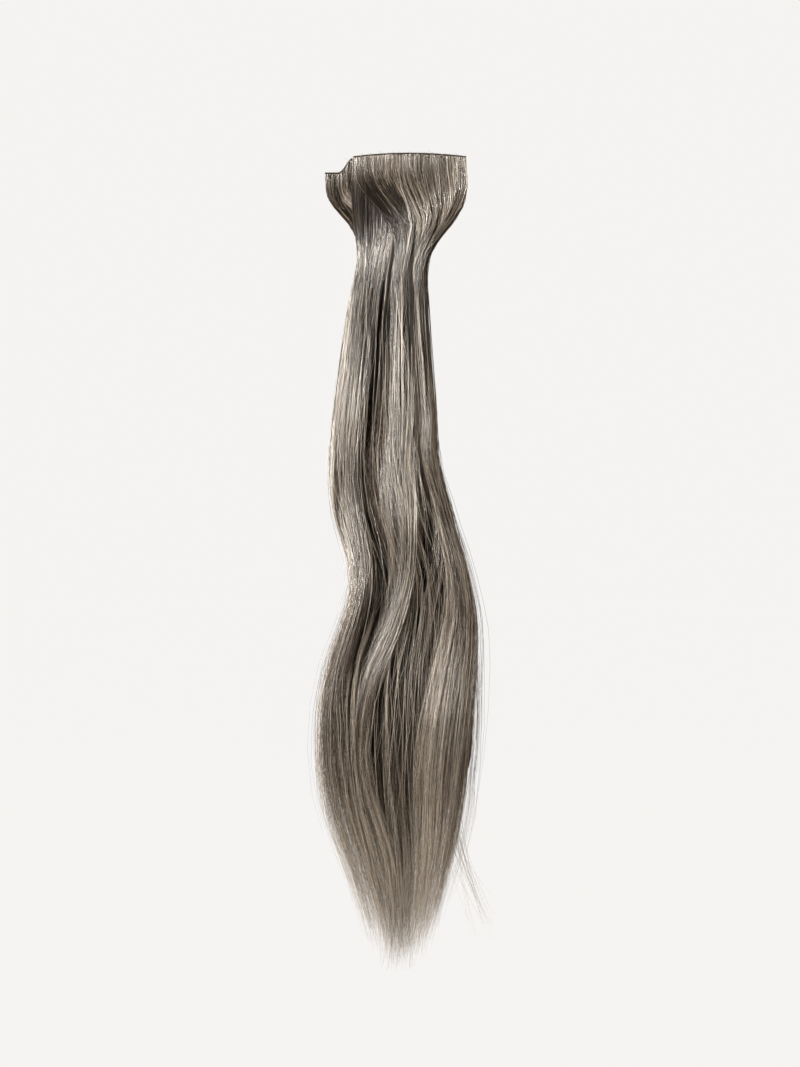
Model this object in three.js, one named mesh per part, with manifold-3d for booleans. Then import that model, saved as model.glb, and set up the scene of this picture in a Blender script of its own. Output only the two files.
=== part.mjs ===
// Hair extension: two machine-sewn wefts hanging one behind the other, front and back.
// Each weft is a sewn band along the top and the hair that falls from it. The hair fans in to a
// gathered neck, then opens into a loose S-wave of locks and tapers to its tips.
// Millimetres, +Z up, +X to the viewer's right, +Y away from the viewer. The origin is on the top
// edge of the front weft, on the plumb line through the tips. "drop" is a depth below that edge.
import * as THREE from "three";
import { mergeVertices } from "three/addons/utils/BufferGeometryUtils.js";
import Module from "manifold-3d";

const wasm = await Module();
wasm.setup();

// Driving dimensions
const BAND_HEIGHT = 4;
const BAND_THICKNESS = 1.6;
const SEAT_GAP = 0.3; // between a band and its hair, and between the two wefts
const NECK_DROP = 64; // where the hair is gathered narrowest
const WAIST_DROP = 252; // middle of the wave, where the hair swings right
const BELLY_DROP = 332; // where the hair is widest
const FRONT_CROWN = 2.2; // how far the ends of the front band lie below its middle
const BACK_LEVEL = 3; // the back band hangs this much lower than the front one
const BACK_DROOP = 9; // and its left end droops this much more
const DROOP_FROM = 0.1; // shares of the back band's length between which it steps down
const DROOP_TO = 0.21;
const TIP_TAPER = 75; // length over which a lock narrows to its tip
const TIP_WIDTH = 0.14; // share of a lock's width that is left at its tip
const LEAST_SPAN = 58; // a lock's width is a share of at least this much hair

// Mesh fineness
const CROWN_STEPS = 16;
const DROOP_STEPS = 10;
const BED_SIDES = 22;
const BED_STEPS = 24;
const LOCK_SIDES = 10;
const LOCK_STEPS = 25;

// Levels of the fall, which both wefts share below the neck: the left and right edges, the middle
// surface where front and back hair meet, and how far the hair reaches before and behind it.
const FALL = [
  { drop: 64, left: -26.5, right: 17.4, mid: 4, front: 7, back: 7 },
  { drop: 91, left: -31.6, right: 17, mid: 5, front: 8, back: 8 },
  { drop: 128, left: -37, right: 19.4, mid: 4.5, front: 10, back: 9 },
  { drop: 166, left: -41.5, right: 22, mid: 1, front: 11, back: 10 },
  { drop: 194, left: -43.4, right: 23.6, mid: -2, front: 12, back: 11 },
  { drop: 213, left: -42.8, right: 29, mid: -4, front: 12, back: 11.5 },
  { drop: 232, left: -39, right: 34, mid: -5.5, front: 12, back: 12 },
  { drop: 251, left: -32.9, right: 39.7, mid: -5.3, front: 12, back: 12 },
  { drop: 270, left: -30.7, right: 43.4, mid: -3.6, front: 12.5, back: 12 },
  { drop: 289, left: -35.3, right: 46.5, mid: -1.8, front: 13.5, back: 13 },
  { drop: 308, left: -42.5, right: 47.7, mid: -1.6, front: 14.5, back: 14 },
  { drop: 327, left: -47.7, right: 48.4, mid: -2.6, front: 15.5, back: 15 },
  { drop: 354, left: -50.5, right: 48.7, mid: -3.3, front: 16.5, back: 16 },
  { drop: 388, left: -50, right: 46.5, mid: -2.8, front: 16.5, back: 16 },
  { drop: 420, left: -44, right: 42.2, mid: -2, front: 15, back: 14.5 },
  { drop: 445, left: -35, right: 35.5, mid: -1.4, front: 12, back: 12 },
  { drop: 467, left: -26.5, right: 28, mid: -0.9, front: 9, back: 9 },
  { drop: 488, left: -17, right: 17.5, mid: -0.4, front: 5.5, back: 5.5 },
  { drop: 503, left: -9, right: 8, mid: 0, front: 2.5, back: 2.5 },
];

// Levels of the fan above the neck, where each weft has edges of its own.
const FRONT_FAN = [
  { drop: 0, left: -29, right: 41, mid: 0, front: 1.8 },
  { drop: 8, left: -29.4, right: 41.2, mid: 0, front: 2.3 },
  { drop: 22, left: -30, right: 41.5, mid: 1.2, front: 3.4 },
  { drop: 38, left: -29.5, right: 36, mid: 3, front: 5.4 },
];
const BACK_FAN = [
  { drop: 0, left: -46.5, right: 36, mid: 0, back: 1.8 },
  { drop: 8, left: -46.2, right: 36, mid: 0, back: 2.3 },
  { drop: 22, left: -43.2, right: 35.6, mid: 1.2, back: 3.6 },
  { drop: 38, left: -32.9, right: 30.2, mid: 3, back: 5.5 },
];

// Locks: where each one runs, as a share of the way from the left edge to the right one, at the
// neck, waist, belly and tip. width is its share of the hair's width, ridge how far it stands out
// as a share of the reach, and end the drop of its tip.
const FRONT_LOCKS = [
  { neck: 0.14, waist: 0.12, belly: 0.13, tip: 0.13, width: 0.27, ridge: 1, end: 474 },
  { neck: 0.35, waist: 0.26, belly: 0.21, tip: 0.26, width: 0.2, ridge: 0.6, end: 484 },
  { neck: 0.61, waist: 0.47, belly: 0.32, tip: 0.38, width: 0.32, ridge: 1, end: 494 },
  { neck: 0.75, waist: 0.69, belly: 0.47, tip: 0.5, width: 0.23, ridge: 0.62, end: 503 },
  { neck: 0.8, waist: 0.77, belly: 0.64, tip: 0.62, width: 0.22, ridge: 0.72, end: 497 },
  { neck: 0.87, waist: 0.88, belly: 0.8, tip: 0.76, width: 0.26, ridge: 1, end: 488 },
  { neck: 0.92, waist: 0.92, belly: 0.92, tip: 0.9, width: 0.16, ridge: 0.7, end: 472 },
];
const BACK_LOCKS = [
  { neck: 0.15, waist: 0.14, belly: 0.14, tip: 0.16, width: 0.28, ridge: 0.94, end: 476 },
  { neck: 0.36, waist: 0.33, belly: 0.33, tip: 0.34, width: 0.25, ridge: 0.74, end: 491 },
  { neck: 0.58, waist: 0.55, belly: 0.54, tip: 0.52, width: 0.29, ridge: 1, end: 500 },
  { neck: 0.78, waist: 0.74, belly: 0.73, tip: 0.68, width: 0.25, ridge: 0.76, end: 492 },
  { neck: 0.89, waist: 0.9, belly: 0.88, tip: 0.84, width: 0.24, ridge: 0.96, end: 478 },
];

// The bed is the even sheet of hair that carries the locks. It has one share of the reach in the
// fan and a smaller one below, and narrows to end above the tips of the locks.
const FAN_SHARE = 0.8;
const BED_SHARE = 0.52;
const BED_THIN_DROP = 120;
const BED_NARROW_DROP = 425;
const BED_END = 472;
const BED_END_WIDTH = 0.6;
const HAIR_START = 3; // inside the band's height, where the band's seat is then cut away
const BED_ROUNDNESS = 2.6; // exponent of the bed's superellipse section
const LOCK_ROUNDNESS = 2.1;

const smoothstep = THREE.MathUtils.smoothstep;
const mix = THREE.MathUtils.lerp;

// Evenly spaced values from one to another.
function levels(from, to, steps) {
  return Array.from({ length: steps + 1 }, (_, i) => mix(from, to, i / steps));
}

// The value of a column at any drop, on a smooth curve through the rows.
function at(rows, column, drop) {
  const last = rows.length - 1;
  const d = THREE.MathUtils.clamp(drop, rows[0].drop, rows[last].drop);
  const next = rows.findIndex((row) => row.drop > d);
  const k = next < 0 ? last - 1 : next - 1;
  const slope = (n) => {
    const a = rows[Math.max(0, n - 1)];
    const b = rows[Math.min(last, n + 1)];
    return (b[column] - a[column]) / (b.drop - a.drop);
  };
  const step = rows[k + 1].drop - rows[k].drop;
  const t = (d - rows[k].drop) / step;
  const from = rows[k][column] + slope(k) * step * t;
  const to = rows[k + 1][column] - slope(k + 1) * step * (1 - t);
  const s = t * t * (3 - 2 * t);
  return mix(from, to, s);
}

// A closed solid through rings of the same number of points, each ring turning the same way.
function loft(rings) {
  const sides = rings[0].length;
  const points = rings.flat();
  const index = [];
  const cap = (ring, flip) => {
    for (let j = 1; j < sides - 1; j++) {
      const tri = [ring * sides, ring * sides + j, ring * sides + j + 1];
      index.push(...(flip ? tri.reverse() : tri));
    }
  };
  for (let i = 0; i < rings.length - 1; i++) {
    for (let j = 0; j < sides; j++) {
      const a = i * sides + j;
      const b = i * sides + ((j + 1) % sides);
      index.push(a, b, a + sides, b, b + sides, a + sides);
    }
  }
  cap(0, true);
  cap(rings.length - 1, false);
  const geometry = new THREE.BufferGeometry().setFromPoints(points);
  geometry.setIndex(index);
  return geometry;
}

// Height of a weft's top edge at a share of its length.
const frontTop = (share) => -FRONT_CROWN * (2 * share - 1) ** 2;
const backTop = (share) => -BACK_LEVEL - BACK_DROOP * (1 - smoothstep(share, DROOP_FROM, DROOP_TO));

const FRONT = {
  fall: [...FRONT_FAN, ...FALL],
  top: frontTop,
  stations: levels(0, 1, CROWN_STEPS),
  reach: "front",
  side: -1,
};
const BACK = {
  fall: [...BACK_FAN, ...FALL],
  top: backTop,
  stations: [0, ...levels(DROOP_FROM, DROOP_TO, DROOP_STEPS), 1],
  reach: "back",
  side: 1,
};

// A point of a weft's hair: across the outline from 0 to 1, out from the middle surface, at a drop.
// The top edge's droop fades out towards the neck.
function hairPoint(weft, across, out, drop) {
  const { fall, top } = weft;
  const x = mix(at(fall, "left", drop), at(fall, "right", drop), across);
  const y = at(fall, "mid", drop) + out;
  const share = THREE.MathUtils.clamp(across, 0, 1);
  const z = -drop + top(share) * (1 - smoothstep(drop, 0, NECK_DROP));
  return new THREE.Vector3(x, y, z);
}

// A level section: a superellipse round a place across the outline.
function section(weft, drop, across, halfAcross, out, sides, roundness) {
  const ring = [];
  for (let j = 0; j < sides; j++) {
    const turn = (2 * Math.PI * (j + 0.5)) / sides;
    const [c, s] = [Math.cos(turn), Math.sin(turn)];
    const u = across + halfAcross * Math.sign(c) * Math.abs(c) ** (2 / roundness);
    const v = out * Math.sign(s) * Math.abs(s) ** (2 / roundness);
    ring.push(hairPoint(weft, u, v, drop));
  }
  return ring.reverse();
}

// The even sheet of hair under a weft's locks.
function bed(weft) {
  const rings = levels(HAIR_START, BED_END, BED_STEPS).map((drop) => {
    const share = mix(FAN_SHARE, BED_SHARE, smoothstep(drop, NECK_DROP, BED_THIN_DROP));
    const narrow = mix(1, BED_END_WIDTH, smoothstep(drop, BED_NARROW_DROP, BED_END));
    const out = at(weft.fall, weft.reach, drop) * share * narrow;
    return section(weft, drop, 0.5, 0.5 * narrow, out, BED_SIDES, BED_ROUNDNESS);
  });
  return loft(rings);
}

// One lock, along its route from the band to its tip.
function lock(weft, { neck, waist, belly, tip, width, ridge, end }) {
  const route = [
    { drop: 0, across: neck },
    { drop: NECK_DROP, across: neck },
    { drop: WAIST_DROP, across: waist },
    { drop: BELLY_DROP, across: belly },
    { drop: end, across: tip },
  ];
  const rings = levels(HAIR_START, end, LOCK_STEPS).map((drop) => {
    const taper = mix(TIP_WIDTH, 1, smoothstep(end - drop, 0, TIP_TAPER));
    const span = at(weft.fall, "right", drop) - at(weft.fall, "left", drop);
    const half = (width / 2) * taper * Math.max(1, LEAST_SPAN / span);
    const out = at(weft.fall, weft.reach, drop) * ridge * Math.sqrt(taper);
    return section(weft, drop, at(route, "across", drop), half, out, LOCK_SIDES, LOCK_ROUNDNESS);
  });
  return loft(rings);
}

// Everything on a weft's own side of the middle surface, half a gap clear of it.
function ownSide(weft) {
  const far = 200;
  const edge = (weft.side * SEAT_GAP) / 2;
  const drops = weft.fall.map((row) => row.drop);
  const rings = [-far, ...drops, drops.at(-1) + far].map((drop) => {
    const y = at(weft.fall, "mid", drop) + edge;
    const corners = [
      [-far, y],
      [-far, y + weft.side * far],
      [far, y + weft.side * far],
      [far, y],
    ];
    const ring = corners.map(([x, depth]) => new THREE.Vector3(x, depth, -drop));
    return weft.side > 0 ? ring : ring.reverse();
  });
  return loft(rings);
}

function solid(geometry) {
  const merged = mergeVertices(geometry);
  return new wasm.Manifold(
    new wasm.Mesh({
      numProp: 3,
      vertProperties: new Float32Array(merged.attributes.position.array),
      triVerts: new Uint32Array(merged.index.array),
    }),
  );
}

function geometryOf(body) {
  const mesh = body.getMesh();
  const geometry = new THREE.BufferGeometry();
  geometry.setAttribute("position", new THREE.BufferAttribute(mesh.vertProperties, 3));
  geometry.setIndex(new THREE.BufferAttribute(mesh.triVerts, 1));
  geometry.computeVertexNormals();
  return geometry;
}

// A strip along the top edge of a weft, between two depths and from above the edge to below it.
function strip(weft, y0, y1, above, below) {
  const { left, right } = weft.fall[0];
  const rings = weft.stations.map((share) => {
    const x = mix(left, right, share);
    const top = weft.top(share);
    return [
      new THREE.Vector3(x, y0, top - below),
      new THREE.Vector3(x, y1, top - below),
      new THREE.Vector3(x, y1, top + above),
      new THREE.Vector3(x, y0, top + above),
    ];
  });
  return loft(rings);
}

// The sewn band along the top of a weft, flat against the middle surface.
function band(weft) {
  const near = (weft.side * SEAT_GAP) / 2;
  const far = near + weft.side * BAND_THICKNESS;
  const geometry = strip(weft, Math.min(near, far), Math.max(near, far), 0, BAND_HEIGHT);
  geometry.computeVertexNormals();
  return geometry;
}

// The hair of one weft: its bed and locks fused, on its own side of the middle surface and cut to
// a seat under its band.
function hair(weft, locks) {
  const clear = 20;
  let body = solid(bed(weft));
  for (const row of locks) {
    body = body.add(solid(lock(weft, row)));
  }
  const seat = solid(strip(weft, -clear, clear, clear, BAND_HEIGHT + SEAT_GAP));
  return geometryOf(body.intersect(solid(ownSide(weft))).subtract(seat));
}

const HAIR_LOOK = { color: 0x8a7e72, roughness: 0.5, metalness: 0 };
const THREAD_LOOK = { color: 0x3b332c, roughness: 0.85, metalness: 0 };

function named(name, geometry, look) {
  const mesh = new THREE.Mesh(geometry, new THREE.MeshStandardMaterial(look));
  mesh.name = name;
  return mesh;
}

const extension = new THREE.Group();
extension.add(
  named("front_weft_band", band(FRONT), THREAD_LOOK),
  named("back_weft_band", band(BACK), THREAD_LOOK),
  named("front_hair", hair(FRONT, FRONT_LOCKS), HAIR_LOOK),
  named("back_hair", hair(BACK, BACK_LOCKS), HAIR_LOOK),
);

export default extension;
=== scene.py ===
"""Looks of a wefted hair extension, built around its solid model.

Every strand is a closed thin tube. Strands grow from the sewn bands, gather at the neck and follow
the locks of the solid model to their tips. Lengths are millimetres until a mesh is made, and metres
on the stage. A "drop" is a depth below the front weft's top edge.
"""

import math
from collections import namedtuple

import bpy
import numpy as np
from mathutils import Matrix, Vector


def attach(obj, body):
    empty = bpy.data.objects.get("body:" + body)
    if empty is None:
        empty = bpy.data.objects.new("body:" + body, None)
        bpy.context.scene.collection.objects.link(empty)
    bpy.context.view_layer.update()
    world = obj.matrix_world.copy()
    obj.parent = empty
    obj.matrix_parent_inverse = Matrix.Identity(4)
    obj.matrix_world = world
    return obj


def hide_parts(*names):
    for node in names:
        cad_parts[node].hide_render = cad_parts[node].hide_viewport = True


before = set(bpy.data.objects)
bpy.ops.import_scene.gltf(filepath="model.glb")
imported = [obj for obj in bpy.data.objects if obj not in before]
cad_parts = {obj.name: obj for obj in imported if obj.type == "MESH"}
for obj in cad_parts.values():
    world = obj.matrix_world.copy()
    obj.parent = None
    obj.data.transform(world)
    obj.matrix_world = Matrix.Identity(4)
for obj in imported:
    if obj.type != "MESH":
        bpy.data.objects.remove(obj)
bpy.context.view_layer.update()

MM = 0.001
SEED = 20
rng = np.random.default_rng(SEED)

# Camera, from the size of the photograph and the pixel of the part's origin
IMAGE_W, IMAGE_H = 800, 1067
MM_PER_PIXEL = 0.62
ORIGIN_PIXEL = (400, 153)
LENS = 85.0
SENSOR = 36.0

# Sewn bands and the thread wound over each of them
BAND_HEIGHT = 4.0
BAND_THICKNESS = 1.6
SEAT_GAP = 0.3
FRONT_CROWN = 2.2
BACK_LEVEL = 3.0
BACK_DROOP = 9.0
DROOP_FROM, DROOP_TO = 0.1, 0.21
STITCH_PITCH = 1.5
STITCH_DROP = 1.2
STITCH_RISE = 1.25
THREAD_CLEAR = 0.06
THREAD_RADIUS = 0.16
THREAD_RINGS_A_TURN = 9
THREAD_SIDES = 5

# Outline of the hair: edges, middle surface and reach before and behind it. Below the belly the locks
# are as wide as if the hair had at least the least span.
NECK_DROP = 64.0
BELLY_DROP = 332.0
LEAST_SPAN = 58.0
COLUMNS = ("drop", "left", "right", "mid", "front", "back")
FALL = [
    (64, -26.5, 17.4, 4, 7, 7),
    (91, -31.6, 17, 5, 8, 8),
    (128, -37, 19.4, 4.5, 10, 9),
    (166, -41.5, 22, 1, 11, 10),
    (194, -43.4, 23.6, -2, 12, 11),
    (213, -42.8, 29, -4, 12, 11.5),
    (232, -39, 34, -5.5, 12, 12),
    (251, -32.9, 39.7, -5.3, 12, 12),
    (270, -30.7, 43.4, -3.6, 12.5, 12),
    (289, -35.3, 46.5, -1.8, 13.5, 13),
    (308, -42.5, 47.7, -1.6, 14.5, 14),
    (327, -47.7, 48.4, -2.6, 15.5, 15),
    (354, -50.5, 48.7, -3.3, 16.5, 16),
    (388, -50, 46.5, -2.8, 16.5, 16),
    (420, -44, 42.2, -2, 15, 14.5),
    (445, -35, 35.5, -1.4, 12, 12),
    (467, -26.5, 28, -0.9, 9, 9),
    (488, -17, 17.5, -0.4, 5.5, 5.5),
    (503, -9, 8, 0, 2.5, 2.5),
]
FRONT_FAN = [
    (0, -29, 41, 0, 1.8, 1.8),
    (8, -29.4, 41.2, 0, 2.3, 2.3),
    (22, -30, 41.5, 1.2, 3.4, 3.4),
    (38, -29.5, 36, 3, 5.4, 5.4),
]
BACK_FAN = [
    (0, -46.5, 36, 0, 1.8, 1.8),
    (8, -46.2, 36, 0, 2.3, 2.3),
    (22, -43.2, 35.6, 1.2, 3.6, 3.6),
    (38, -32.9, 30.2, 3, 5.5, 5.5),
]

# Locks: place across the hair, width and ridge at each lock level, then the stretch of the band that
# the roots take, the drop of the tip, the swells, a shift in tone and the number of strands. The shift
# in tone is painted light and shade: it lightens the left and right locks and darkens some inner ones.
# A swell has a drop, where the hollow above turns into it, and a height. The inner locks fill the
# valleys.
LOCK_LEVELS = (64, 141, 200, 237, 260, 300, 337, 440)
Lock = namedtuple("Lock", "places widths ridges roots end swells tone strands")
FRONT_LOCKS = {
    "left": Lock(
        places=(0.165, 0.16, 0.137, 0.12, 0.085, 0.08, 0.085, 0.15),
        widths=(0.33, 0.32, 0.275, 0.24, 0.17, 0.16, 0.18, 0.28),
        ridges=(0.9, 1.1, 1.06, 0.98, 0.98, 0.9, 0.92, 0.95),
        roots=(0, 0.3), end=498, swells={230: 3.8, 255: 5}, tone=0.14, strands=760,
    ),
    "left_inner": Lock(
        places=(0.43, 0.415, 0.34, 0.31, 0.25, 0.19, 0.2, 0.28),
        widths=(0.2, 0.17, 0.14, 0.16, 0.18, 0.16, 0.16, 0.26),
        ridges=(0.5, 0.3, 0.25, 0.28, 0.55, 0.95, 0.95, 0.95),
        roots=(0.02, 0.4), end=502, swells={252: 4}, tone=0.02, strands=360,
    ),
    "middle": Lock(
        places=(0.665, 0.685, 0.61, 0.53, 0.435, 0.325, 0.25, 0.36),
        widths=(0.28, 0.36, 0.38, 0.3, 0.27, 0.26, 0.2, 0.28),
        ridges=(0.76, 0.82, 1, 1.05, 1, 1, 1, 0.95),
        roots=(0, 0.34), end=506, swells={205: 3, 268: 3}, tone=0.03, strands=860,
    ),
    "centre": Lock(
        places=(0.68, 0.68, 0.66, 0.58, 0.49, 0.41, 0.42, 0.49),
        widths=(0.2, 0.2, 0.2, 0.2, 0.17, 0.16, 0.18, 0.26),
        ridges=(0.7, 0.65, 0.6, 0.6, 0.6, 0.62, 0.72, 0.95),
        roots=(0.2, 0.56), end=511, swells={}, tone=0, strands=320,
    ),
    "middle_inner": Lock(
        places=(0.8, 0.82, 0.84, 0.75, 0.625, 0.54, 0.53, 0.55),
        widths=(0.2, 0.16, 0.16, 0.17, 0.16, 0.14, 0.15, 0.26),
        ridges=(0.85, 0.92, 0.7, 0.3, 0.26, 0.3, 0.46, 0.92),
        roots=(0.4, 0.85), end=510, swells={}, tone=-0.04, strands=340,
    ),
    "right_inner": Lock(
        places=(0.85, 0.9, 0.9, 0.88, 0.77, 0.65, 0.62, 0.62),
        widths=(0.2, 0.14, 0.14, 0.18, 0.26, 0.22, 0.2, 0.28),
        ridges=(0.85, 0.85, 0.75, 0.62, 0.7, 0.66, 0.58, 0.95),
        roots=(0.5, 0.95), end=506, swells={}, tone=-0.01, strands=420,
    ),
    "right": Lock(
        places=(0.87, 0.9, 0.915, 0.905, 0.9, 0.86, 0.8, 0.76),
        widths=(0.26, 0.2, 0.18, 0.19, 0.21, 0.29, 0.34, 0.32),
        ridges=(0.88, 0.88, 0.9, 0.9, 0.92, 1.02, 1.04, 0.98),
        roots=(0.3, 0.97), end=502, swells={152: 2.4, 246: 5, 335: 2.6}, tone=0.23, strands=760,
    ),
    "right_edge": Lock(
        places=(0.94, 0.94, 0.94, 0.94, 0.94, 0.93, 0.92, 0.88),
        widths=(0.12, 0.1, 0.1, 0.1, 0.1, 0.12, 0.12, 0.2),
        ridges=(0.7, 0.7, 0.7, 0.7, 0.7, 0.75, 0.75, 0.8),
        roots=(0.9, 1), end=494, swells={}, tone=0.16, strands=220,
    ),
}
BACK_LOCKS = {
    "back_left": Lock(
        places=(0.15, 0.14, 0.14, 0.14, 0.14, 0.14, 0.14, 0.17),
        widths=(0.3, 0.29, 0.28, 0.27, 0.26, 0.26, 0.26, 0.28),
        ridges=(0.94, 0.94, 0.94, 0.94, 0.94, 0.95, 0.95, 0.95),
        roots=(0, 0.3), end=496, swells={230: 3}, tone=0, strands=480,
    ),
    "back_left_inner": Lock(
        places=(0.36, 0.34, 0.34, 0.33, 0.33, 0.32, 0.32, 0.34),
        widths=(0.26, 0.22, 0.2, 0.2, 0.2, 0.2, 0.22, 0.26),
        ridges=(0.76, 0.6, 0.55, 0.55, 0.55, 0.6, 0.7, 0.92),
        roots=(0.1, 0.55), end=502, swells={}, tone=0, strands=420,
    ),
    "back_middle": Lock(
        places=(0.58, 0.56, 0.56, 0.55, 0.55, 0.54, 0.53, 0.51),
        widths=(0.3, 0.3, 0.3, 0.3, 0.29, 0.28, 0.28, 0.28),
        ridges=(0.98, 1, 1, 1, 1, 1, 1, 0.95),
        roots=(0.26, 0.72), end=508, swells={200: 3}, tone=0.02, strands=500,
    ),
    "back_right_inner": Lock(
        places=(0.78, 0.76, 0.75, 0.75, 0.74, 0.73, 0.72, 0.68),
        widths=(0.26, 0.22, 0.2, 0.2, 0.2, 0.2, 0.22, 0.26),
        ridges=(0.76, 0.6, 0.55, 0.55, 0.55, 0.6, 0.7, 0.92),
        roots=(0.5, 0.95), end=502, swells={}, tone=0, strands=420,
    ),
    "back_right": Lock(
        places=(0.89, 0.9, 0.9, 0.9, 0.9, 0.89, 0.88, 0.83),
        widths=(0.26, 0.24, 0.24, 0.24, 0.24, 0.24, 0.24, 0.28),
        ridges=(0.95, 0.95, 0.95, 0.95, 0.95, 0.96, 0.96, 0.95),
        roots=(0.68, 1), end=496, swells={240: 3}, tone=0, strands=460,
    ),
}

# Changes down the hair, by the drops where each one starts and is whole
CHANGES = {
    "fan_tightens": (20, 120),
    "clumps_drift": (NECK_DROP, 330),
    "strands_part": (250, 430),
    "ends_spread": (330, 470),
    "locks_lean": (60, 130),
    "strays_leave": (120, 320),
    "back_narrows": (180, 280),
    "ridges_form": (20, 104),
    "under_band_rises": (20, 90),
    "fold_deepens": (20, 62),
    "fold_ends": (62, 114),
    "wefts_mingle": (190, 320),
    "wisps_sway": (30, 130),
    "strands_sway": (NECK_DROP, 260),
    "tips_sway": (330, 480),
    "tips_flare": (390, 507),
    "painted_lock_tones": (30, 90),
    "ends_painted_light": (350, 480),
    "core_thickens": (60, 130),
    "core_narrows": (360, 445),
}

# What comes and goes, by the drops where it starts, is whole, starts to go and is gone
WINDOWS = {
    "fold_sweep": (2, 36, 60, 130),
    "fan_shade": (8, 28, 45, 85),
    "neck_painted_shade": (40, 60, 80, 180),
    "flank_shade": (60, 100, 190, 235),
}

# Locks that lie deep in the fan, under the hair that sweeps across them. They are swept along too,
# less so where the roots are within the swept share of the band's left end.
FOLDED = ("left", "left_inner")
FOLD_DEPTH = 0.92
FOLD_START = 0.6
FOLD_SWEEP = 0.14
SWEPT_SHARE = 0.15

# Locks whose ridge lies to the right of their middle, and locks that sink a little below the neck
LEANS = {"left": 0.5, "middle": 0.45}
DIPS = {"left_inner": 0.35, "middle": 0.2}
DIP_DROP, DIP_LENGTH = 118.0, 45.0

# Swells: the half wave of one, and the factor that gives its crest the height in the tables
SWELL_LENGTH = 35.0
SWELL_PEAK = 1.65

# Tubes: rings along a strand, sides and radii
RINGS = 24
STRAY_RINGS = 14
SIDES = 3
STRAND_RADII = (0.1, 0.16)
STRAY_RADII = (0.06, 0.1)
TIP_TAPER = 0.8
TINY = 1e-9

# Rings lie closer in the fan and at the waist, and all but the first and last are shifted. The roots
# lie along the band in the order that the strands have across the lock at the rank ring.
RING_SAMPLES = 400
FAN_RINGS = 2.4
WAIST_RINGS = 1.1
WAIST_SHARE = 0.52
RING_SPREAD = 0.13
RING_SHIFT = 0.4
RING_HOLD = 0.1
RANK_RING = RINGS // 4

# Roots and ends: the share of a lock that starts over its band, where strands start and leave it,
# and how far short of the lock's tip they end
OVER_BAND = 0.55
OVER_BAND_INNER = 0.05
ROOT_OVER_BAND = 1.1
ROOT_UNDER_BAND = BAND_HEIGHT + 0.5
ROOT_SPREAD = 0.4
ROOT_JITTER = 0.008
ROOT_MARGIN = 0.002
LATEST_LEAVING = 14
BAND_CLEARED = 45
LOSS_SHAPE, LOSS_SCALE, MOST_LOSS = 2, 28, 190

# Hair over a band lies on its outer face, and part of it before the back band where that one shows
ON_BAND = (0.1, 1)
BEFORE_BAND = (0.2, 0.8)
SHOWN_SHARE = 0.22
SHOWN_PART = 0.6

# A lock's section: strands to a wisp and a clump, and their spread in shares of its half width
WISP_STRANDS = 4
CLUMP_STRANDS = 14
FLANK_TURN = 0.05
LEAST_FILL = 0.3
CLUMP_DRIFT = 0.09
CLUMP_WAVES = (160, 420)
WISP_SPREAD = 0.17
FAN_SPREAD, END_SPREAD = 1.6, 0.6
STRAND_SPREADS = (0.03, 0.1)
SECTION_RIM = 1.02
STRAY_SHARE = 0.12
STRAY_SPREAD = 0.05
BACK_SQUEEZE = 0.09

# Heights: how flat the hair from under a band starts, the sway of strands and wisps with their wave
# lengths, the least height, and how far the hair of each weft reaches into the other
UNDER_BAND_START = 0.3
SWAY_WAVES = 3
SWAY_OUT, SWAY_OUT_WAVES = 0.22, (40, 160)
SWAY_ASIDE, SWAY_ASIDE_WAVES = 0.28, (60, 220)
WISP_SWAY, WISP_WAVES = 0.45, (60, 150)
FAN_SWAY, TIP_SWAY = 0.25, 1.4
TIP_FLARE = 3
LEAST_HEIGHT = 0.35
MINGLE = 1.0

# Tones from 0 to 1: the usual one and the spread of strands, tresses, wisps and clumps. A tress is a
# stretch across the lock with one shift in tone. Wisps follow a t distribution, so a few stand out.
USUAL_TONE = 0.46
STRAND_TONES = 0.13
TRESSES = 7
TRESS_TONES = 0.1
WISP_TONES, WISP_TAIL = 0.15, 4
CLUMP_TONES = 0.13
# Painted light on the ends, where the thin tips let light through
END_PAINTED_LIGHT = 0.45
# Stray hairs are paler than the rest: painted highlight on fine loose hairs
STRAY_HIGHLIGHT_TONES = (0.55, 1)

# Painted shades, which darken the colour where shade falls: inside a lock, in a valley, below the neck
# and in the fan by lock
INSIDE_SHADE = 0.22
VALLEY_SHADE = 0.7
# Painted shade around the neck, where the hair gathers
NECK_PAINTED_SHADE = 0.28
# Painted shade in the fan by lock, darkest in its folds; a lock below zero gets painted light there
# instead
FAN_SHADES = {
    "left": 0.6,
    "left_inner": 0.6,
    "middle": 0.56,
    "centre": 0.32,
    "middle_inner": -0.14,
    "right": -0.18,
}

# Painted shade on a lock's flank beside the first valley, where the next lock's shadow falls: the
# right flank if above zero, or else the left
FLANK_SHADES = {"left": 0.45, "middle": -0.65}

# How much of these painted shades a black and a white strand take
SHADE_OF_DARK, SHADE_OF_PALE = 1.6, 0.3

# Packed hair under the strands, in shares of the hair's width and reach
CORE_RINGS, CORE_SIDES = 60, 24
FRONT_CORE_TOP = BAND_HEIGHT + 0.6
BACK_CORE_TOP = 58
CORE_END = 440
CORE_HALF_WIDTH = 0.46
CORE_NARROWING = 0.9
CORE_DEPTHS = (0.02, 0.16)
CORE_ROUNDNESS = 0.6
CORE_CLEAR = 0.1


def mix(a, b, t):
    return a + (b - a) * t


def bump(x, middle, width):
    return np.exp(-(((x - middle) / width) ** 2))


def smoothstep(x, low, high):
    t = np.clip((x - low) / (high - low), 0, 1)
    return t * t * (3 - 2 * t)


def progress(drop, change):
    """How far one of the changes has come at a drop, from 0 to 1."""
    return smoothstep(drop, *CHANGES[change])


def presence(drop, window):
    """How much is there at a drop of what comes and goes, from 0 to 1."""
    starts, whole, goes, gone = WINDOWS[window]
    return smoothstep(drop, starts, whole) * (1 - smoothstep(drop, goes, gone))


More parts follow.
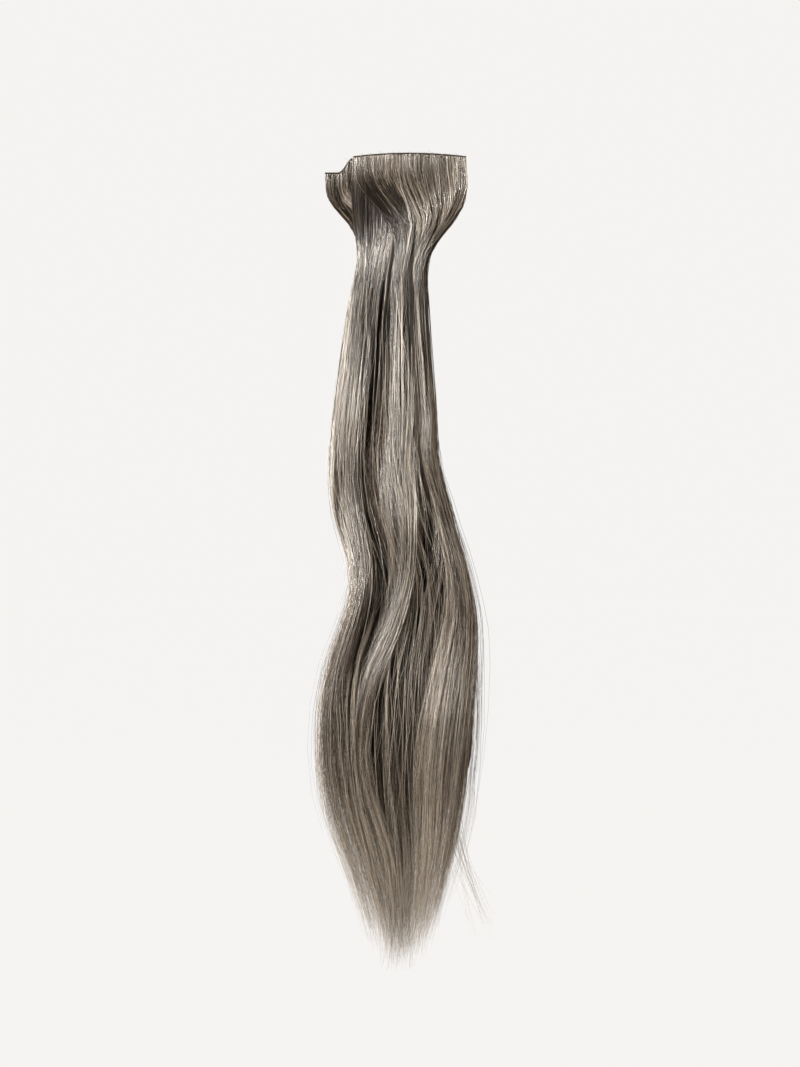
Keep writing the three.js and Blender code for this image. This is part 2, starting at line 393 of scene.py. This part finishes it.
def smooth_curve(knots, values, x):
    """A smooth curve through the knots, read at any x and level beyond the ends."""
    knots, values = np.asarray(knots, float), np.asarray(values, float)
    x = np.clip(x, knots[0], knots[-1])
    slope = np.gradient(values, knots)
    k = np.clip(np.searchsorted(knots, x, side="right") - 1, 0, len(knots) - 2)
    step = knots[k + 1] - knots[k]
    t = (x - knots[k]) / step
    before = values[k] + slope[k] * step * t
    after = values[k + 1] - slope[k + 1] * step * (1 - t)
    return mix(before, after, t * t * (3 - 2 * t))


def draws(low, high, count):
    """One even random draw for each strand."""
    return rng.uniform(low, high, (count, 1))


def sway(count, owner, drop, shortest, longest):
    """Slow waves along the strands: strands with the same owner sway together."""
    total = np.zeros(drop.shape)
    for _ in range(SWAY_WAVES):
        length = rng.uniform(shortest, longest, count)[owner, None]
        phase = rng.uniform(0, 2 * math.pi, count)[owner, None]
        total += np.sin(2 * math.pi * drop / length + phase)
    return total / math.sqrt(SWAY_WAVES)


class Weft:
    """One sewn band and the outline of the hair that falls from it."""

    def __init__(self, fan, locks, side, reach, top):
        self.rows = np.array(fan + FALL, float)
        self.locks = locks
        self.side = side
        self.reach = reach
        self.top = top

    def at(self, column, drop):
        return smooth_curve(self.rows[:, 0], self.rows[:, COLUMNS.index(column)], drop)

    def span(self, drop):
        return self.at("right", drop) - self.at("left", drop)

    def point(self, across, out, drop):
        """A point across the hair and out from its middle surface. The top edge's droop fades out
        towards the neck."""
        x = self.at("left", drop) + across * self.span(drop)
        y = self.at("mid", drop) + self.side * out
        droop = self.top(np.clip(across, 0, 1)) * (1 - smoothstep(drop, 0, NECK_DROP))
        return np.stack([x, y, droop - drop], -1)


def front_top(share):
    """Level of the front weft's top edge along it: a low arch."""
    return -FRONT_CROWN * (2 * share - 1) ** 2


def back_top(share):
    """Level of the back weft's top edge along it: straight, with a drooping left end."""
    return -BACK_LEVEL - BACK_DROOP * (1 - smoothstep(share, DROOP_FROM, DROOP_TO))


FRONT = Weft(FRONT_FAN, FRONT_LOCKS, -1, "front", front_top)
BACK = Weft(BACK_FAN, BACK_LOCKS, 1, "back", back_top)


# Strand paths and tones


def ring_shares(count):
    """Where a strand's rings lie along it: close in the fan and through the waist, and shifted a
    little from strand to strand so that they never line up."""
    u = np.linspace(0, 1, RING_SAMPLES)
    density = 1 + FAN_RINGS * bump(u, 0, RING_SPREAD) + WAIST_RINGS * bump(u, WAIST_SHARE, RING_SPREAD)
    total = np.cumsum(density)
    total = (total - total[0]) / (total[-1] - total[0])
    shares = np.interp(np.linspace(0, 1, RINGS), total, u)
    shift = draws(-RING_SHIFT, RING_SHIFT, count)
    return shares + shift * np.gradient(shares) * np.sin(math.pi * shares) ** RING_HOLD


def strand_drops(lock, over_band):
    """The drop of each ring, from the root on or under the band to the strand's own end."""
    n = lock.strands
    root = np.where(over_band, ROOT_OVER_BAND, ROOT_UNDER_BAND) + draws(0, ROOT_SPREAD, n)
    end = lock.end - np.minimum(rng.gamma(LOSS_SHAPE, LOSS_SCALE, (n, 1)), MOST_LOSS)
    return root + (end - root) * ring_shares(n)


def lock_section(drop, clump, wisp):
    """Places of a lock's strands in its half-round section: a along it, b out of it, and how far they
    are from its middle. Strands of one wisp stay together, and so do wisps of one clump."""
    n = len(wisp)
    wisps, clumps = n // WISP_STRANDS, n // CLUMP_STRANDS
    turn = rng.permutation(np.linspace(FLANK_TURN, math.pi - FLANK_TURN, clumps))
    radius = np.sqrt(rng.uniform(LEAST_FILL, 1, clumps))
    spread = mix(FAN_SPREAD, 1, progress(drop, "fan_tightens"))
    spread = spread + END_SPREAD * progress(drop, "ends_spread")
    parting = mix(*STRAND_SPREADS, progress(drop, "strands_part"))
    places = []
    for centre in (np.cos(turn), np.abs(np.sin(turn))):
        own = rng.normal(0, WISP_SPREAD, wisps)[wisp][:, None] * spread
        own = own + rng.normal(0, 1, (n, 1)) * parting
        drift = CLUMP_DRIFT * sway(clumps, clump, drop, *CLUMP_WAVES) * progress(drop, "clumps_drift")
        places.append((centre * radius)[clump][:, None] + own + drift)
    a, b = places[0], np.abs(places[1])
    size = np.sqrt(a * a + b * b)
    beyond = np.maximum(1, size / SECTION_RIM)
    return a / beyond, b / beyond, np.clip(size, 0, 1)


def strand_places(weft, name, drop, a, b, rank, wisp):
    """Places across the hair, the place of each root along the band and the drop where it leaves."""
    lock = weft.locks[name]
    n = lock.strands
    widening = np.where(drop > BELLY_DROP, np.maximum(1, LEAST_SPAN / weft.span(drop)), 1)
    width = smooth_curve(LOCK_LEVELS, lock.widths, drop) * widening
    lean = LEANS.get(name, 0) * progress(drop, "locks_lean")
    fallen = smooth_curve(LOCK_LEVELS, lock.places, drop) + (a + lean * b) * width / 2
    stray = rng.normal(0, STRAY_SPREAD, (n, 1)) * (draws(0, 1, n) < STRAY_SHARE)
    fallen = fallen + stray * progress(drop, "strays_leave")

    share = np.sort(rng.uniform(*lock.roots, n))[rank] + rng.normal(0, ROOT_JITTER, n)
    share = np.clip(share, ROOT_MARGIN, 1 - ROOT_MARGIN)[:, None]
    leaves = rng.uniform(0, LATEST_LEAVING, n // WISP_STRANDS)[wisp][:, None]
    across = mix(share, fallen, smoothstep(drop, leaves, NECK_DROP))
    if name in FOLDED:
        sweep = FOLD_SWEEP * rng.uniform(0, 1, n // WISP_STRANDS)[wisp][:, None]
        sweep = sweep * np.minimum(share / SWEPT_SHARE, 1)
        across = across + sweep * presence(drop, "fold_sweep")
    if weft is BACK:
        across = 0.5 + (across - 0.5) * (1 - BACK_SQUEEZE * progress(drop, "back_narrows"))
    return across, share, leaves


def looseness(drop):
    """How freely single strands sway: least in the fan and most at the tips."""
    return mix(FAN_SWAY, 1, progress(drop, "strands_sway")) + TIP_SWAY * progress(drop, "tips_sway")


def ridge_height(lock, drop):
    return mix(1, smooth_curve(LOCK_LEVELS, lock.ridges, drop), progress(drop, "ridges_form"))


def swell_height(lock, drop):
    height = 0
    for swell_drop, crest in lock.swells.items():
        u = (drop - swell_drop) / SWELL_LENGTH
        height = height + SWELL_PEAK * crest * u * np.exp(-u * u / 2)
    return height


def strand_heights(weft, name, drop, b, over_band, wisp):
    """How far a lock's strands stand out from the middle surface of the hair."""
    lock = weft.locks[name]
    n = lock.strands
    b = np.where(over_band, b, b * mix(UNDER_BAND_START, 1, progress(drop, "under_band_rises")))
    fold = 0
    if name in FOLDED:
        fold = FOLD_DEPTH * mix(FOLD_START, 1, progress(drop, "fold_deepens"))
        fold = fold * (1 - progress(drop, "fold_ends"))
    dip = DIPS.get(name, 0) * bump(drop, DIP_DROP, DIP_LENGTH)
    out = b * weft.at(weft.reach, drop) * ridge_height(lock, drop) + swell_height(lock, drop)
    out = out * (1 - fold) * (1 - dip)
    out = out + SWAY_OUT * looseness(drop) * sway(n, np.arange(n), drop, *SWAY_OUT_WAVES)
    wisps_sway = sway(n // WISP_STRANDS, wisp, drop, *WISP_WAVES)
    out = out + WISP_SWAY * progress(drop, "wisps_sway") * wisps_sway
    mingle = MINGLE * progress(drop, "wefts_mingle")
    return np.maximum(out - mingle, LEAST_HEIGHT - 2 * mingle)


def leave_band(weft, drop, out, over_band, share, leaves):
    """Heights of the strands with those over the band brought onto its face at their roots."""
    n = len(share)
    on_band = SEAT_GAP / 2 + BAND_THICKNESS + draws(*ON_BAND, n)
    before_band = SEAT_GAP / 2 - draws(*BEFORE_BAND, n)
    shows_before = (weft is BACK) & (share < SHOWN_SHARE) & (draws(0, 1, n) < SHOWN_PART)
    rooted = np.where(shows_before, before_band, on_band)
    return np.where(over_band, mix(rooted, out, smoothstep(drop, leaves / 2, BAND_CLEARED)), out)


def strand_tones(weft, name, drop, a, size, rank, clump, wisp):
    """A tone for each ring, with painted light and shade. Dark strands lose more of their tone in a
    painted shade than pale ones.
    """
    lock = weft.locks[name]
    n = lock.strands
    tone = USUAL_TONE + rng.normal(0, STRAND_TONES, n)
    tone = tone + rng.normal(0, TRESS_TONES, TRESSES)[rank * TRESSES // n]
    tone = tone + WISP_TONES * rng.standard_t(WISP_TAIL, n // WISP_STRANDS)[wisp]
    tone = tone + rng.normal(0, CLUMP_TONES, n // CLUMP_STRANDS)[clump]
    tone = tone[:, None]

    # Painted shade deep inside a lock and in the valleys, less the lock's painted shift in tone
    valley = 1 - np.minimum(ridge_height(lock, drop), 1)
    painted_darkening = INSIDE_SHADE * (1 - size) + VALLEY_SHADE * valley
    painted_darkening = painted_darkening - lock.tone * progress(drop, "painted_lock_tones")
    shade = FAN_SHADES.get(name, 0) * presence(drop, "fan_shade")
    shade = shade + NECK_PAINTED_SHADE * presence(drop, "neck_painted_shade")
    flank = np.maximum(FLANK_SHADES.get(name, 0) * a, 0)
    shade = shade + flank * presence(drop, "flank_shade")
    tone = tone - painted_darkening - shade * mix(SHADE_OF_DARK, SHADE_OF_PALE, tone)
    # Painted light on the ends, where the thin tips let light through
    return np.clip(tone + END_PAINTED_LIGHT * progress(drop, "ends_painted_light"), 0, 1)


def lock_strands(weft, name):
    """Paths and tones of one lock's strands."""
    lock = weft.locks[name]
    n = lock.strands
    wisp = rng.integers(0, n // WISP_STRANDS, n)
    clump = rng.integers(0, n // CLUMP_STRANDS, n // WISP_STRANDS)[wisp]
    over_band = draws(0, 1, n) < (OVER_BAND_INNER if name.endswith("inner") else OVER_BAND)
    drop = strand_drops(lock, over_band)
    a, b, size = lock_section(drop, clump, wisp)
    rank = np.argsort(np.argsort(a[:, RANK_RING]))

    across, share, leaves = strand_places(weft, name, drop, a, b, rank, wisp)
    out = strand_heights(weft, name, drop, b, over_band, wisp)
    out = leave_band(weft, drop, out, over_band, share, leaves)
    paths = weft.point(across, out, drop)
    flare = rng.normal(0, TIP_FLARE, (n, 1)) * progress(drop, "tips_flare") ** 2
    aside = SWAY_ASIDE * looseness(drop) * sway(n, np.arange(n), drop, *SWAY_ASIDE_WAVES)
    paths[..., 0] += aside + flare
    return paths, strand_tones(weft, name, drop, a, size, rank, clump, wisp)


def strand_radii(count, rings, least, most):
    s = np.linspace(0, 1, rings)[None, :]
    return draws(least, most, count) * (1 - TIP_TAPER * s ** 3)


# Stray hairs: where they start and end, how long they are, and how far they lift, slant or stand up
EDGE_STARTS, EDGE_START_POWER = (80, 380), 0.6
EDGE_LENGTHS = (40, 100)
EDGE_SHARE = 0.01
EDGE_HEIGHTS = (0.1, 0.5)
EDGE_LIFT, EDGE_LIFT_POWER = 0.8, 1.5
EDGE_TAILS = (-1, 2)
EDGE_INSET = 0.6
SURFACE_STARTS = (70, 350)
SURFACE_LENGTHS = (60, 140)
SURFACE_SHARES = (0.12, 0.88)
SURFACE_SLANT = 0.08
SURFACE_ENDS, SURFACE_CRESTS = 0.75, (0.9, 1.08)
LOWER_STARTS, LOWER_ENDS = (380, 420), (455, 490)
LOWER_X_STARTS, LOWER_X_ENDS = (24, 36), (44, 59)
LOWER_CURVES = (1.3, 2)
LOWER_Y, LOWER_Y_DRIFT = (-9, -2), 3
WHISKER_SHARES = (0.01, 0.99)
WHISKER_ROOT = 2.2
WHISKER_RISES, WHISKER_TURN = (1.8, 3.4), 0.6 * math.pi
WHISKER_SLANT = 0.02
WHISKER_DEPTHS, WHISKER_SPREAD = (0.2, 1.1), 0.4


def edge_strays(weft, count):
    """Fine hairs that lift off the left and right edges."""
    t = np.linspace(0, 1, STRAY_RINGS)[None, :]
    right = draws(0, 1, count) < 0.5
    start = mix(*EDGE_STARTS, draws(0, 1, count) ** EDGE_START_POWER)
    drop = start + draws(*EDGE_LENGTHS, count) * t
    lift = rng.exponential(EDGE_LIFT, (count, 1)) * np.sin(math.pi * t ** EDGE_LIFT_POWER)
    lift = lift + draws(*EDGE_TAILS, count) * t ** 3
    across = np.where(right, 1 - EDGE_SHARE, EDGE_SHARE)
    out = draws(*EDGE_HEIGHTS, count) * weft.at(weft.reach, drop)
    paths = weft.point(across + 0 * drop, out, drop)
    paths[..., 0] += np.where(right, 1, -1) * (lift - EDGE_INSET * (1 - t))
    return paths


def surface_strays(weft, count):
    """Fine hairs that cross the locks at a slant."""
    t = np.linspace(0, 1, STRAY_RINGS)[None, :]
    drop = draws(*SURFACE_STARTS, count) + draws(*SURFACE_LENGTHS, count) * t
    across = draws(*SURFACE_SHARES, count) + rng.normal(0, SURFACE_SLANT, (count, 1)) * (t - 0.5)
    crest = draws(*SURFACE_CRESTS, count)
    out = weft.at(weft.reach, drop) * mix(SURFACE_ENDS, crest, np.sin(math.pi * t))
    return weft.point(across, out, drop)


def lower_strays(count):
    """The loose bunch that leaves the right edge low down."""
    t = np.linspace(0, 1, STRAY_RINGS)[None, :]
    start = draws(*LOWER_STARTS, count)
    drop = start + (draws(*LOWER_ENDS, count) - start) * t
    reach = draws(*LOWER_X_ENDS, count)
    x = mix(draws(*LOWER_X_STARTS, count), reach, t ** draws(*LOWER_CURVES, count))
    y = draws(*LOWER_Y, count) + rng.normal(0, LOWER_Y_DRIFT, (count, 1)) * t
    return np.stack([x, y, -drop], -1)


def whiskers(weft, count):
    """Short hair ends that stand up along the sewn edge."""
    t = np.linspace(0, 1, STRAY_RINGS)[None, :]
    share = draws(*WHISKER_SHARES, count)
    drop = WHISKER_ROOT - draws(*WHISKER_RISES, count) * np.sin(WHISKER_TURN * t)
    across = share + rng.normal(0, WHISKER_SLANT, (count, 1)) * t
    out = SEAT_GAP / 2 + BAND_THICKNESS * draws(*WHISKER_DEPTHS, count)
    out = out + rng.normal(0, WHISKER_SPREAD, (count, 1)) * t
    x = weft.at("left", 0) + across * weft.span(0)
    return np.stack([x, weft.side * out, weft.top(share) - drop], -1)


def overlock(weft):
    """A thread wound over a band's top edge from end to end."""
    left, right = weft.at("left", 0), weft.at("right", 0)
    turns = (right - left) / STITCH_PITCH
    angle = np.linspace(0, 2 * math.pi * turns, int(turns * THREAD_RINGS_A_TURN))
    share = angle / angle[-1]
    middle = weft.side * (SEAT_GAP + BAND_THICKNESS) / 2
    y = middle + (BAND_THICKNESS / 2 + THREAD_CLEAR) * np.cos(angle)
    z = weft.top(share) - STITCH_DROP + STITCH_RISE * np.sin(angle)
    return np.stack([left + (right - left) * share, y, z], -1)[None]


# Meshes


def tubes(name, paths, radii, tones, sides=SIDES):
    """One mesh of closed tubes along the paths, in metres, with a tone for each point."""
    n, rings = paths.shape[:2]
    points = paths * MM
    along = np.gradient(points, axis=1)
    along /= np.linalg.norm(along, axis=2, keepdims=True)
    first = np.cross(along, np.array([0.0, 1.0, 0.0]))
    first /= np.maximum(np.linalg.norm(first, axis=2, keepdims=True), TINY)
    second = np.cross(along, first)
    turn = rng.uniform(0, 2 * math.pi, (n, 1, 1)) + 2 * math.pi * np.arange(sides) / sides
    offset = first[:, :, None] * np.cos(turn)[..., None]
    offset = offset + second[:, :, None] * np.sin(turn)[..., None]
    ring = points[:, :, None] + offset * (radii * MM)[:, :, None, None]
    vertices = ring.reshape(-1, 3)

    base = np.arange(n)[:, None, None] * rings * sides
    i = np.arange(rings - 1)[None, :, None] * sides
    j = np.arange(sides)[None, None, :]
    k = (j + 1) % sides
    quads = np.stack([base + i + j, base + i + k, base + i + sides + k, base + i + sides + j], -1)
    quads = quads.reshape(-1, 4)
    ends = np.arange(n)[:, None] * rings * sides
    root_caps = ends + np.arange(sides)[::-1]
    tip_caps = ends + (rings - 1) * sides + np.arange(sides)
    caps = np.concatenate([root_caps, tip_caps])

    # The caps have points of their own, so that they don't bend the shading of the sides
    corners = np.concatenate([quads.ravel(), caps.ravel()])
    loops = np.concatenate([quads.ravel(), len(vertices) + np.arange(caps.size)])
    vertices = np.concatenate([vertices, vertices[caps.ravel()]])
    tones = np.repeat(tones, sides, axis=1).ravel()
    tones = np.concatenate([tones, tones[caps.ravel()]])

    mesh = bpy.data.meshes.new(name)
    mesh.vertices.add(len(vertices))
    mesh.vertices.foreach_set("co", vertices.astype(np.float32).ravel())
    starts = np.concatenate([np.arange(len(quads)) * 4, quads.size + np.arange(len(caps)) * sides])
    mesh.loops.add(len(loops))
    mesh.loops.foreach_set("vertex_index", loops.astype(np.int32))
    mesh.polygons.add(len(starts))
    mesh.polygons.foreach_set("loop_start", starts.astype(np.int32))
    mesh.update(calc_edges=True)
    mesh.shade_smooth()

    tone = mesh.attributes.new("tone", "FLOAT", "POINT")
    tone.data.foreach_set("value", tones.astype(np.float32))
    bake_map(mesh, n, rings, sides, corners)
    return linked(name, mesh)


def bake_map(mesh, n, rings, sides, corners):
    """Each strand is a narrow upright column of the map, in a few storeys with a margin around it."""
    storeys = 4
    side_margin, end_margin = 0.2, 0.04
    columns = math.ceil(n / storeys)
    strand = corners // (rings * sides)
    ring = (corners // sides) % rings
    side = corners % sides
    u = (strand % columns + mix(side_margin, 1 - side_margin, side / (sides - 1))) / columns
    v = (strand // columns + mix(end_margin, 1 - end_margin, ring / (rings - 1))) / storeys
    layer = mesh.uv_layers.new(name="OFBake")
    layer.data.foreach_set("uv", np.stack([u, v], -1).astype(np.float32).ravel())


def hair_core(weft, name, top):
    """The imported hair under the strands: one smooth closed loft on its weft's side."""
    rings, sides = CORE_RINGS, CORE_SIDES
    paths = []
    turn = np.linspace(0, math.pi, sides)
    for drop in np.linspace(top, CORE_END, rings):
        narrow = 1 - CORE_NARROWING * progress(drop, "core_narrows") ** 2
        across = 0.5 + CORE_HALF_WIDTH * narrow * np.cos(turn)
        depth = mix(*CORE_DEPTHS, progress(drop, "core_thickens")) * narrow
        out = depth * weft.at(weft.reach, drop) * np.sin(turn) ** CORE_ROUNDNESS + CORE_CLEAR
        paths.append(weft.point(across, out, np.full(sides, drop)))
    points = np.array(paths).reshape(-1, 3) * MM
    faces = []
    for i in range(rings - 1):
        for j in range(sides):
            k = (j + 1) % sides
            face = (i * sides + j, i * sides + k, (i + 1) * sides + k, (i + 1) * sides + j)
            faces.append(face if weft.side < 0 else face[::-1])
    caps = [tuple(range(sides))[::-1], tuple(range((rings - 1) * sides, rings * sides))]
    faces += caps if weft.side < 0 else [cap[::-1] for cap in caps]
    mesh = bpy.data.meshes.new(name)
    mesh.from_pydata(points.tolist(), [], faces)
    mesh.shade_smooth()
    return linked(name, mesh)


def linked(name, data):
    """A new object of the scene with this mesh, light or camera."""
    item = bpy.data.objects.new(name, data)
    bpy.context.scene.collection.objects.link(item)
    return item


# Materials

HAIR_TONES = [
    (0.0, (0.008, 0.0048, 0.0029)),
    (0.3, (0.044, 0.03, 0.0195)),
    (0.5, (0.098, 0.075, 0.055)),
    (0.75, (0.21, 0.168, 0.127)),
    (1.0, (0.43, 0.36, 0.28)),
]
# Near-black colours of the packed hair under the strands: painted shade of the hair's deep inside
CORE_SHADE_TONES = [
    (0.36, (0.006, 0.004, 0.0026)),
    (0.5, (0.02, 0.014, 0.0095)),
    (0.66, (0.07, 0.052, 0.037)),
]
THREAD_TONES = [
    (0.3, (0.012, 0.009, 0.007)),
    (0.7, (0.04, 0.031, 0.024)),
]
SHINE_TINT = (1, 0.93, 0.84, 1)
STREAK_DETAIL = 4.0
STREAK_SHINE = 0.1


def new_material(name):
    material = bpy.data.materials.new(name)
    material.use_nodes = True
    tree = material.node_tree
    return material, tree, tree.nodes["Principled BSDF"]


def ramp(tree, source, stops):
    node = tree.nodes.new("ShaderNodeValToRGB")
    elements = node.color_ramp.elements
    while len(elements) < len(stops):
        elements.new(0.5)
    for element, (position, colour) in zip(elements, stops):
        element.position = position
        element.color = (*colour, 1)
    tree.links.new(source, node.inputs["Fac"])
    return node.outputs["Color"]


def streaks(tree, scale):
    """Noise in object space, stretched along the hair's fall or along a band."""
    place = tree.nodes.new("ShaderNodeTexCoord")
    stretch = tree.nodes.new("ShaderNodeMapping")
    stretch.inputs["Scale"].default_value = scale
    noise = tree.nodes.new("ShaderNodeTexNoise")
    noise.inputs["Scale"].default_value = 1.0
    noise.inputs["Detail"].default_value = STREAK_DETAIL
    tree.links.new(place.outputs["Object"], stretch.inputs["Vector"])
    tree.links.new(stretch.outputs["Vector"], noise.inputs["Vector"])
    return noise.outputs["Fac"]


def hair_material(name, roughness, ior):
    material, tree, shader = new_material(name)
    tone = tree.nodes.new("ShaderNodeAttribute")
    tone.attribute_name = "tone"
    tree.links.new(ramp(tree, tone.outputs["Fac"], HAIR_TONES), shader.inputs["Base Color"])
    shader.inputs["Roughness"].default_value = roughness
    shader.inputs["IOR"].default_value = ior
    shader.inputs["Specular Tint"].default_value = SHINE_TINT
    return material


def streaked_material(name, scale, tones, roughness):
    material, tree, shader = new_material(name)
    tree.links.new(ramp(tree, streaks(tree, scale), tones), shader.inputs["Base Color"])
    shader.inputs["Roughness"].default_value = roughness
    shader.inputs["Specular IOR Level"].default_value = STREAK_SHINE
    return material


hair = hair_material("ash_hair", roughness=0.26, ior=1.8)
inner_hair = hair_material("ash_hair_inner", roughness=0.5, ior=1.35)
shadow = streaked_material("packed_hair_painted_shade", scale=(2600, 2600, 12), tones=CORE_SHADE_TONES, roughness=0.7)
thread = streaked_material("weft_thread", scale=(1600, 900, 700), tones=THREAD_TONES, roughness=0.8)


# Pieces


def dress(piece, material, slot, *nodes):
    piece.data.materials.append(material)
    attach(piece, "root")
    if nodes:
        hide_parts(*nodes)


PIECES = {
    "front_left_strands": (FRONT, "front_hair", hair, ("left",)),
    "front_middle_strands": (FRONT, "front_hair", hair, ("middle", "centre")),
    "front_right_strands": (FRONT, "front_hair", hair, ("right_inner", "right", "right_edge")),
    "front_inner_strands": (FRONT, "front_hair", inner_hair, ("left_inner", "middle_inner")),
    "back_left_strands": (BACK, "back_hair", hair, ("back_left", "back_left_inner")),
    "back_right_strands": (BACK, "back_hair", hair, ("back_middle", "back_right_inner", "back_right")),
}
for piece_name, (weft, node, material, lock_names) in PIECES.items():
    grown = [lock_strands(weft, name) for name in lock_names]
    paths = np.concatenate([lock_paths for lock_paths, _ in grown])
    tones = np.concatenate([lock_tones for _, lock_tones in grown])
    radii = strand_radii(len(paths), RINGS, *STRAND_RADII)
    dress(tubes(piece_name, paths, radii, tones), material, "hair", node)

# The cores under the strands take the near-black painted shade
dress(hair_core(FRONT, "front_hair_core", FRONT_CORE_TOP), shadow, "hair", "front_hair")
dress(hair_core(BACK, "back_hair_core", BACK_CORE_TOP), shadow, "hair", "back_hair")

strays = {
    "front_stray_hairs": [
        edge_strays(FRONT, count=60),
        surface_strays(FRONT, count=220),
        lower_strays(count=26),
        whiskers(FRONT, count=110),
    ],
    "back_stray_hairs": [
        edge_strays(BACK, count=30),
        surface_strays(BACK, count=90),
        whiskers(BACK, count=110),
    ],
}
for piece_name, groups in strays.items():
    paths = np.concatenate(groups)
    # Paler tones: painted highlight on the loose hairs
    tones = draws(*STRAY_HIGHLIGHT_TONES, len(paths)) + np.zeros((1, STRAY_RINGS))
    radii = strand_radii(len(paths), STRAY_RINGS, *STRAY_RADII)
    dress(tubes(piece_name, paths, radii, tones), hair, "hair")

for side_name, weft in (("front", FRONT), ("back", BACK)):
    path = overlock(weft)
    flat = np.full(path.shape[:2], 1.0)
    stitches = tubes(f"{side_name}_weft_stitches", path, THREAD_RADIUS * flat, flat, THREAD_SIDES)
    dress(stitches, thread, "weft_thread")
    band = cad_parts[f"{side_name}_weft_band"].data
    band.materials.clear()
    band.materials.append(thread)


# Stage

FLOOR_Z = -0.62
FLOOR_RADIUS = 12.0
FLOOR_SIDES = 96
FLOOR_COLOUR = (0.003, 0.003, 0.003, 1)
PALE = (0.913, 0.896, 0.88)
SHOWN = 1.0
AMBIENT = 0.1
WHITE = (1, 1, 1)
WARM = (1, 0.9, 0.8)
CENTRE = Vector((0, 0, -0.25))


def camera_share(tree, shown, lit):
    """A strength that the camera sees as one value and everything else as another."""
    path = tree.nodes.new("ShaderNodeLightPath")
    spread = tree.nodes.new("ShaderNodeMapRange")
    spread.inputs["To Min"].default_value = lit
    spread.inputs["To Max"].default_value = shown
    tree.links.new(path.outputs["Is Camera Ray"], spread.inputs["Value"])
    return spread.outputs["Result"]


def build_floor():
    bpy.ops.mesh.primitive_circle_add(vertices=FLOOR_SIDES, radius=FLOOR_RADIUS, fill_type="NGON")
    floor = bpy.context.object
    floor.name = "floor"
    floor.location = (0, 0, FLOOR_Z)
    material, tree, shader = new_material("pale_floor")
    shader.inputs["Base Color"].default_value = FLOOR_COLOUR
    shader.inputs["Roughness"].default_value = 1.0
    shader.inputs["Specular IOR Level"].default_value = 0.0
    shader.inputs["Emission Color"].default_value = (*PALE, 1)
    tree.links.new(camera_share(tree, SHOWN, AMBIENT), shader.inputs["Emission Strength"])
    floor.data.materials.append(material)


def build_world():
    world = bpy.data.worlds.new("studio")
    bpy.context.scene.world = world
    world.use_nodes = True
    tree = world.node_tree
    background = tree.nodes["Background"]
    background.inputs["Color"].default_value = (*PALE, 1)
    tree.links.new(camera_share(tree, SHOWN, AMBIENT), background.inputs["Strength"])


def area_light(name, place, size, power, colour):
    light = bpy.data.lights.new(name, "AREA")
    light.shape = "RECTANGLE"
    light.size, light.size_y = size
    light.energy = power
    light.color = colour
    lamp = linked(name, light)
    lamp.location = place
    lamp.rotation_euler = (CENTRE - lamp.location).to_track_quat("-Z", "Y").to_euler()
    lamp.visible_camera = False


def build_camera():
    camera = bpy.data.cameras.new("camera")
    camera.lens = LENS
    camera.sensor_width = SENSOR
    rig = linked("camera", camera)
    tall = IMAGE_H * MM_PER_PIXEL * MM
    distance = tall / 2 / (SENSOR / 2 / LENS)
    middle = (IMAGE_H / 2 - ORIGIN_PIXEL[1]) * MM_PER_PIXEL * MM
    rig.location = ((IMAGE_W / 2 - ORIGIN_PIXEL[0]) * MM_PER_PIXEL * MM, -distance, -middle)
    rig.rotation_euler = (math.radians(90), 0, 0)
    bpy.context.scene.camera = rig


build_camera()
build_world()
build_floor()
area_light("key", place=(-1.67, -1.3, 0.36), size=(1.3, 0.5), power=185, colour=WHITE)
area_light("fill", place=(1.95, -0.6, 0), size=(1.2, 1.6), power=30, colour=WARM)
area_light("side", place=(-2.1, 0.7, -0.2), size=(1.2, 0.6), power=40, colour=WHITE)
area_light("back", place=(0.2, 2, 0.9), size=(1.6, 1), power=110, colour=WARM)
bpy.context.scene.view_settings.view_transform = "Standard"
